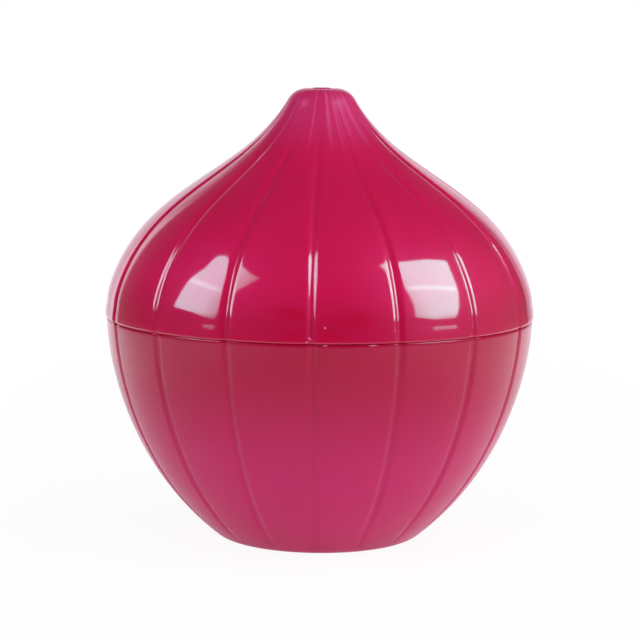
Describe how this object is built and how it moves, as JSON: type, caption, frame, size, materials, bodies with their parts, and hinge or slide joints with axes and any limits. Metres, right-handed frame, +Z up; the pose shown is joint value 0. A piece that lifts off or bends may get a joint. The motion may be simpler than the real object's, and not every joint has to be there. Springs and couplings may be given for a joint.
{
  "type": "onion keeper",
  "caption": "Onion-shaped food keeper in tinted plastic: a fluted bowl with a collar, and a fluted dome lid with a tapering cut tip that lifts off.",
  "frame": {"origin": "centre of the flat foot, on the surface that the keeper stands on", "axes": "+Z up along the axis of both shells; -Y runs through one flute, which faces the picture's camera"},
  "size_m": [0.1024, 0.1024, 0.1078],
  "materials": {
    "lid_plastic": "glossy tinted magenta, slightly see-through",
    "base_plastic": "satin tinted magenta, slightly see-through"
  },
  "bodies": {
    "base": {"base": "base_plastic"},
    "lid": {"lid": "lid_plastic"}
  },
  "joints": [
    {"name": "lid_lift", "type": "slide", "parent": "base", "child": "lid", "axis": [0, 0, 1], "range_m": [0, 0.06]}
  ]
}
